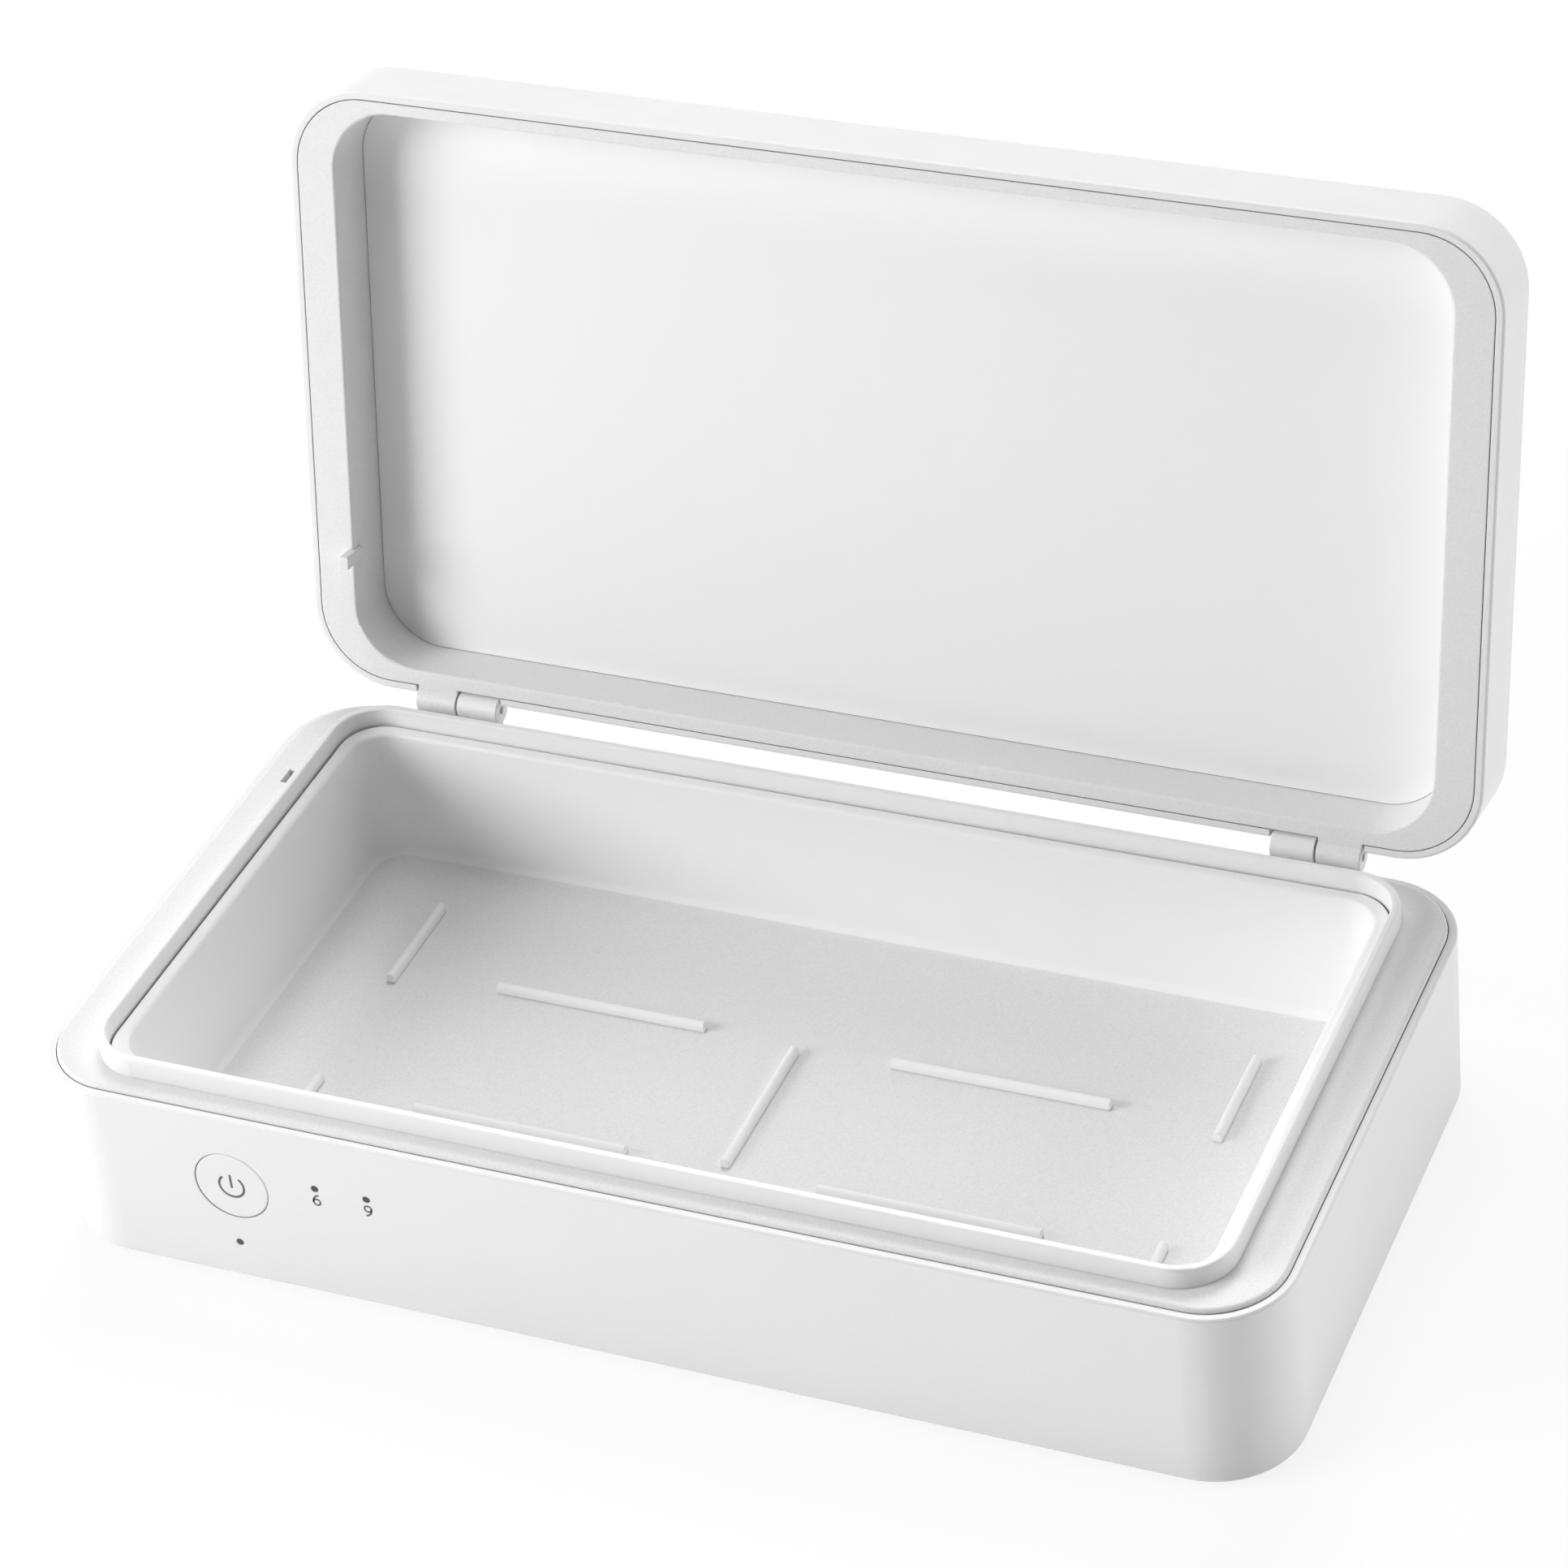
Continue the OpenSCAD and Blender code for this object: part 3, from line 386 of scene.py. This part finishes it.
def white_laminate(name, tone, glow):
    """White laminate table top: matt, and keeps a soft shadow.

    What the camera sees of it, straight or mirrored, holds a share of plain white.
    """
    made, tree = new_material(name)
    rays = add_node(tree, "ShaderNodeLightPath").outputs
    seen = add_node(tree, "ShaderNodeMath", {"operation": "MAXIMUM"},
                    feed=(rays["Is Camera Ray"], rays["Is Glossy Ray"]))
    seen = add_node(tree, "ShaderNodeMath", {"operation": "MAXIMUM"},
                    feed=(seen.outputs[0], rays["Is Transmission Ray"]))
    share = add_node(tree, "ShaderNodeMath", {"operation": "MULTIPLY"}, {1: glow},
                     feed=(seen.outputs[0],))
    matt = add_node(tree, "ShaderNodeBsdfDiffuse", None, {"Color": rgba(tone)})
    plain = add_node(tree, "ShaderNodeEmission", None, {"Color": rgba(tone), "Strength": 1.0})
    mix = add_node(tree, "ShaderNodeMixShader",
                   feed=(share.outputs[0], matt.outputs[0], plain.outputs[0]))
    finish_material(tree, mix)
    return made


def dress(material, *nodes):
    """Gives parts of the solid model their material."""
    for name in nodes:
        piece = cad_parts[name]
        piece.data.materials.clear()
        piece.data.materials.append(material)


def round_end(centre, side, steps=8):
    """Points of a half circle from centre plus side round to centre minus side."""
    angles = [math.pi * k / steps for k in range(1, steps)]
    return [centre + Vector((side.x * math.cos(a) + side.z * math.sin(a), 0.0,
                             side.z * math.cos(a) - side.x * math.sin(a))) for a in angles]


def ribbon(name, path, width, thick):
    """A flat line of ink along a path in the plane of the front face, with round ends."""
    points = [Vector((x, 0.0, z)) for x, z in path]
    last = len(points) - 1
    sides = []
    for i in range(last + 1):
        along = (points[min(i + 1, last)] - points[max(i - 1, 0)]).normalized()
        sides.append(Vector((-along.z, 0.0, along.x)) * width / 2)
    outline = [point + side for point, side in zip(points, sides)]
    outline += round_end(points[-1], sides[-1])
    outline += [point - side for point, side in zip(reversed(points), reversed(sides))]
    outline += round_end(points[0], -sides[0])
    form = bmesh.new()
    face = form.faces.new([form.verts.new(p) for p in outline])
    raised = bmesh.ops.extrude_face_region(form, geom=[face])
    moved = [v for v in raised["geom"] if isinstance(v, bmesh.types.BMVert)]
    bmesh.ops.translate(form, verts=moved, vec=(0.0, -thick, 0.0))
    bmesh.ops.recalc_face_normals(form, faces=form.faces)
    mesh = bpy.data.meshes.new(name)
    form.to_mesh(mesh)
    form.free()
    piece = bpy.data.objects.new(name, mesh)
    bpy.context.scene.collection.objects.link(piece)
    return piece


def bezier(a, b, c, d, steps):
    """Points along one cubic curve."""
    out = []
    for i in range(steps + 1):
        t = i / steps
        out.append(tuple(
            (1 - t) ** 3 * p + 3 * (1 - t) ** 2 * t * q + 3 * (1 - t) * t * t * r + t ** 3 * s
            for p, q, r, s in zip(a, b, c, d)))
    return out


def six_path(height, stroke):
    """Centre line of a 6, its middle at the origin: a stem that runs into a round bowl."""
    tall = height - stroke
    r = 0.3 * tall
    stem = bezier((0.62 * r, tall), (-0.35 * r, 0.98 * tall), (-r, 0.62 * tall), (-r, r), 16)
    turns = [2 * math.pi * k / 36 for k in range(1, 36)]
    bowl = [(-r * math.cos(a), r - r * math.sin(a)) for a in turns]
    return [(x, z - tall / 2) for x, z in stem + bowl]


def print_mark(name, path, stroke, thick, place, ink):
    """Prints one line of ink on a face."""
    piece = ribbon(name, path, stroke, thick)
    piece.location = place
    piece.data.materials.append(ink)
    return piece


def lay_table(p):
    """Lays the table top a hair below the feet, so that the two faces don't fight."""
    mesh = bpy.data.meshes.new("table_top")
    form = bmesh.new()
    bmesh.ops.create_grid(form, x_segments=8, y_segments=8, size=p.floor_reach)
    form.to_mesh(mesh)
    form.free()
    mesh.materials.append(white_laminate("white_laminate", p.floor, p.floor_glow))
    table = bpy.data.objects.new("table_top", mesh)
    table.location.z = -p.floor_drop
    bpy.context.scene.collection.objects.link(table)


def light_room(strength):
    """An even, weak room light, white where the camera looks straight at it."""
    white = (1.0, 1.0, 1.0, 1.0)
    world = bpy.data.worlds.new("studio")
    bpy.context.scene.world = world
    world.use_nodes = True
    tree = world.node_tree
    tree.nodes.clear()
    seen = add_node(tree, "ShaderNodeLightPath").outputs["Is Camera Ray"]
    room = add_node(tree, "ShaderNodeBackground", None, {"Color": white, "Strength": strength})
    plain = add_node(tree, "ShaderNodeBackground", None, {"Color": white, "Strength": 1.0})
    mix = add_node(tree, "ShaderNodeMixShader", feed=(seen, room.outputs[0], plain.outputs[0]))
    add_node(tree, "ShaderNodeOutputWorld", Surface=mix.outputs[0])


def hang_lamp(name, place, side, watts):
    """A square soft lamp that points at the box."""
    light = bpy.data.lights.new(name, "AREA")
    light.shape = "SQUARE"
    light.size = side
    light.energy = watts
    lamp = bpy.data.objects.new(name, light)
    lamp.location = place
    aim = Vector(LAMP_AIM) - Vector(place)
    lamp.rotation_euler = aim.to_track_quat("-Z", "Y").to_euler()
    bpy.context.scene.collection.objects.link(lamp)


class DressHousings(bpy.types.Operator):
    """Gives the outer housings and the button their satin white plastic"""

    bl_idname = "sanitizer.dress_housings"
    bl_label = "Outer housings"

    def execute(self, context):
        p = context.scene.sanitizer_plastic
        shell = moulded_plastic("moulded_abs_satin", p.housing, p.grain, depth=0.012 * MM,
                                pit_shade=(0.98, 1.0), rough=0.42, edge=p.edge)
        cap = moulded_plastic("moulded_abs_button", p.housing, p.grain, depth=0.008 * MM,
                              pit_shade=(0.98, 1.0), rough=0.40, edge=p.edge)
        dress(shell, "base_shell", "lid_shell")
        dress(cap, "power_button")
        return {"FINISHED"}


class DressInside(bpy.types.Operator):
    """Gives the deck, lid frame, chamber and reflector their finishes"""

    bl_idname = "sanitizer.dress_inside"
    bl_label = "Deck, chamber and lid inside"

    def execute(self, context):
        p = context.scene.sanitizer_plastic
        # The deck and lid frame have a fine grain, the chamber's floor a sand grain. All get
        # painted shade in their grain's pits and in seams; the seam shade is lighter on the deck's
        # lip and absent on the chamber's walls above 5 mm.
        deck = moulded_plastic("moulded_abs_deck", p.inner, p.grain, depth=0.05 * MM,
                               pit_shade=(0.87, 0.95), rough=0.46, edge=p.edge,
                               no_pit_shade_above=p.deck_top + 0.1 * MM,
                               lighter_shade_above=(p.deck_top - 0.3 * MM, 0.9))
        lid = moulded_plastic("moulded_abs_lid_frame", p.inner, p.grain, depth=0.05 * MM,
                              pit_shade=(0.9, 0.96), rough=0.46, edge=p.edge, seam_shade=0.45)
        tub = moulded_plastic("moulded_abs_sand_grain", p.chamber, p.grain * 0.9,
                              depth=0.06 * MM, pit_shade=(0.83, 0.915), rough=0.5,
                              edge=p.edge, seam_shade=0.5,
                              no_pit_shade_above=p.chamber_floor + 0.1 * MM,
                              lighter_shade_above=(p.chamber_floor + 5 * MM, 1.0))
        sheet = reflector_sheet("painted_aluminium_sheet", p.panel)
        dress(deck, "deck_frame")
        dress(lid, "lid_frame")
        dress(tub, "chamber_tub")
        dress(sheet, "reflector_panel")
        return {"FINISHED"}


class DressHardware(bpy.types.Operator):
    """Gives the feet, screws, pins and power socket their rubber and steel"""

    bl_idname = "sanitizer.dress_hardware"
    bl_label = "Feet, screws, pins and socket"

    def execute(self, context):
        dress(moulded_rubber("moulded_silicone_rubber", "#8C8D8F"), "rubber_feet")
        # Nickel plate is warm and bright, drawn wire bluish, and the socket's folded shell paler
        screws = worked_steel("nickel_plated_steel", "#C9C7C2", 0.3, 0.1 * MM, along=2)
        wire = worked_steel("drawn_steel_wire", "#C4C5C7", 0.28, 0.08 * MM, along=0)
        sheet = worked_steel("folded_steel_sheet", "#CFCFD0", 0.26, 0.12 * MM, along=1)
        dress(screws, "bottom_screws", "board_screws", "lamp_screws")
        dress(wire, "hinge_pins")
        dress(sheet, "power_socket")
        return {"FINISHED"}


class DressElectronics(bpy.types.Operator):
    """Gives the boards, switch, sensor, lamps, windows, light rods and leads their materials"""

    bl_idname = "sanitizer.dress_electronics"
    bl_label = "Electronics"

    def execute(self, context):
        board = coated_laminate("coated_glass_laminate", "#1F5C38", "#3C8A50")
        dress(board, "control_board", "lamp_board", "socket_board")
        # Moulded nylon: near black, with a soft shine
        nylon = moulded_plastic("moulded_black_nylon", linear("#202124"), 0.4 * MM,
                                depth=0.01 * MM, pit_shade=(0.95, 1.0), rough=0.5, edge=0.2 * MM)
        dress(nylon, "push_switch", "switch_plunger", "interlock_sensor")
        # Pressed and fired alumina: creamy and matt
        ceramic = moulded_plastic("fired_alumina_ceramic", linear("#E6DFC2"), 0.3 * MM,
                                  depth=0.01 * MM, pit_shade=(0.95, 1.0), rough=0.55,
                                  edge=0.1 * MM)
        dress(ceramic, "uv_lamps")
        dress(quartz_glass("polished_quartz_glass", "#EEF3F8"), "lamp_windows")
        dress(tinted_rod("tinted_acrylic_rod", "#4C4F52"), "status_pipes")
        # Extruded flat lead of PVC: ivory, with a dull skin
        lead = moulded_plastic("extruded_flat_pvc", linear("#E3E1D6"), 0.5 * MM,
                               depth=0.01 * MM, pit_shade=(0.97, 1.0), rough=0.5, edge=0.1 * MM)
        dress(lead, "lamp_lead", "power_lead")
        return {"FINISHED"}


class AddPowerSymbol(bpy.types.Operator):
    """Prints the standard power symbol on the button"""

    bl_idname = "sanitizer.add_power_symbol"
    bl_label = "Power symbol"

    def execute(self, context):
        p = context.scene.sanitizer_marks
        low, high = BUTTON_BOX
        place = ((low[0] + high[0]) / 2, low[1], (low[2] + high[2]) / 2)
        ink = printed_ink("pad_printed_ink", p.ink)
        # A ring open over 90 degrees at its top, and a bar from just below its middle to its top
        r = p.symbol_radius
        gap = math.radians(45)
        turns = [gap + (2 * math.pi - 2 * gap) * k / 60 for k in range(61)]
        ring = [(r * math.sin(a), r * math.cos(a)) for a in turns]
        bar = [(0.0, -0.1 * r), (0.0, r)]
        for name, path in (("power_ring", ring), ("power_bar", bar)):
            piece = print_mark(name, path, p.symbol_stroke, p.ink_thick, place, ink)
            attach(piece, "button")
        return {"FINISHED"}


class AddNumbers(bpy.types.Operator):
    """Prints the two minute numbers under the upper lights"""

    bl_idname = "sanitizer.add_numbers"
    bl_label = "Numbers"

    def execute(self, context):
        p = context.scene.sanitizer_marks
        light_z = LIGHTS_BOX[1][2] - p.light_radius
        right_x = LIGHTS_BOX[1][0] - p.light_radius
        ink = printed_ink("pad_printed_ink_numbers", p.ink)
        six = six_path(p.digit_height, p.digit_stroke)
        nine = [(-x, -z) for x, z in six]
        marks = (("number_six", six, right_x - p.light_step), ("number_nine", nine, right_x))
        for name, path, x in marks:
            place = (x, FRONT_Y, light_z - p.digit_drop)
            piece = print_mark(name, path, p.digit_stroke, p.ink_thick, place, ink)
            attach(piece, "base")
        return {"FINISHED"}


class SetStage(bpy.types.Operator):
    """Lays the white table top and places the lamps and the room light"""

    bl_idname = "sanitizer.set_stage"
    bl_label = "Floor and lamps"

    def execute(self, context):
        scene = context.scene
        p = scene.sanitizer_stage
        scene.view_settings.view_transform = "Standard"
        lay_table(p)
        light_room(p.room)
        lamps = (
            ("main_lamp", (-1.2, -1.0, 0.75), p.large_lamp, p.main_power),
            ("near_lamp", (-0.8, -0.6, 0.45), p.small_lamp, p.near_power),
            ("side_lamp", (1.45, 0.6, 0.4), p.large_lamp, p.side_power),
            ("back_lamp", (-0.2, 0.6, 0.95), p.small_lamp, p.back_power),
            ("top_lamp", (0.0, 0.0, 1.65), p.large_lamp, p.top_power),
        )
        for name, place, side, watts in lamps:
            hang_lamp(name, place, side, watts)
        return {"FINISHED"}


class SetCamera(bpy.types.Operator):
    """Stands the camera where the photograph was taken from"""

    bl_idname = "sanitizer.set_camera"
    bl_label = "Camera"

    def execute(self, context):
        scene = context.scene
        data = bpy.data.cameras.new("camera")
        data.sensor_width = SENSOR_WIDTH
        data.lens = scene.sanitizer_stage.focal
        data.shift_x, data.shift_y = CAMERA_SHIFT
        data.clip_start, data.clip_end = CAMERA_CLIP
        camera = bpy.data.objects.new("camera", data)
        camera.location = CAMERA_PLACE
        camera.rotation_euler = Euler([math.radians(a) for a in CAMERA_TURN], "XYZ")
        scene.collection.objects.link(camera)
        scene.camera = camera
        return {"FINISHED"}


STEPS = (SetCamera, SetStage, DressHousings, DressInside, DressHardware, DressElectronics,
         AddPowerSymbol, AddNumbers)
GROUPS = {
    "sanitizer_plastic": PlasticProperties,
    "sanitizer_marks": MarkProperties,
    "sanitizer_stage": StageProperties,
}


class SanitizerPanel(bpy.types.Panel):
    """Lists the steps and the values that they use"""

    bl_idname = "VIEW3D_PT_sanitizer"
    bl_label = "Sanitizer Box"
    bl_space_type = "VIEW_3D"
    bl_region_type = "UI"
    bl_category = "Sanitizer"

    def draw(self, context):
        for step in STEPS:
            self.layout.operator(step.bl_idname)
        for name, group in GROUPS.items():
            values = self.layout.box()
            for key in group.__annotations__:
                values.prop(getattr(context.scene, name), key)


def register():
    """Registers the values, the steps and the panel."""
    for group in GROUPS.values():
        bpy.utils.register_class(group)
    for step in STEPS:
        bpy.utils.register_class(step)
    bpy.utils.register_class(SanitizerPanel)
    for name, group in GROUPS.items():
        setattr(bpy.types.Scene, name, bpy.props.PointerProperty(type=group))


def unregister():
    """Takes everything out again, in reverse."""
    for name in GROUPS:
        delattr(bpy.types.Scene, name)
    bpy.utils.unregister_class(SanitizerPanel)
    for step in reversed(STEPS):
        bpy.utils.unregister_class(step)
    for group in GROUPS.values():
        bpy.utils.unregister_class(group)


def main():
    """Registers the add-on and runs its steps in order."""
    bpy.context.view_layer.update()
    register()
    bpy.ops.sanitizer.set_camera()
    bpy.ops.sanitizer.set_stage()
    bpy.ops.sanitizer.dress_housings()
    bpy.ops.sanitizer.dress_inside()
    bpy.ops.sanitizer.dress_hardware()
    bpy.ops.sanitizer.dress_electronics()
    bpy.ops.sanitizer.add_power_symbol()
    bpy.ops.sanitizer.add_numbers()


if __name__ == "__main__":
    main()
